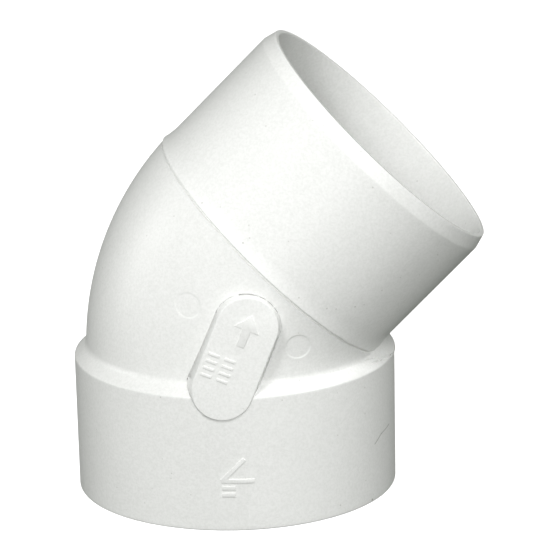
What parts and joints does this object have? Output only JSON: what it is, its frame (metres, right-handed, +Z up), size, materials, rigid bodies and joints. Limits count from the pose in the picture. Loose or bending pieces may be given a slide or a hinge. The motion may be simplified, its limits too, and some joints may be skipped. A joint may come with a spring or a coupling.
{
  "type": "pipe bend",
  "caption": "45 degree socket-and-spigot bend in white rigid plastic for 110 mm pipe or duct, with a flat marking pad on its side.",
  "frame": {"origin": "centre of the socket mouth, on the plane of its end face", "axes": "+Z up the socket axis, away from the pipe that enters the socket; the spigot leans 45 degrees from +Z towards +X; the marking pad faces -Y"},
  "size_m": [0.1538, 0.1205, 0.1709],
  "materials": {
    "moulding": "satin moulded uPVC, off-white",
    "raised_marks": "satin moulded uPVC, off-white"
  },
  "bodies": {
    "root": {"socket_collar": "moulding", "pipe_stop_shoulder": "moulding", "bend_body": "moulding", "spigot": "moulding", "marking_pad": "moulding", "pad_arrow": "raised_marks", "pad_ticks": "raised_marks", "socket_angle_mark": "raised_marks", "ejector_pin_marks": "moulding"}
  },
  "joints": []
}
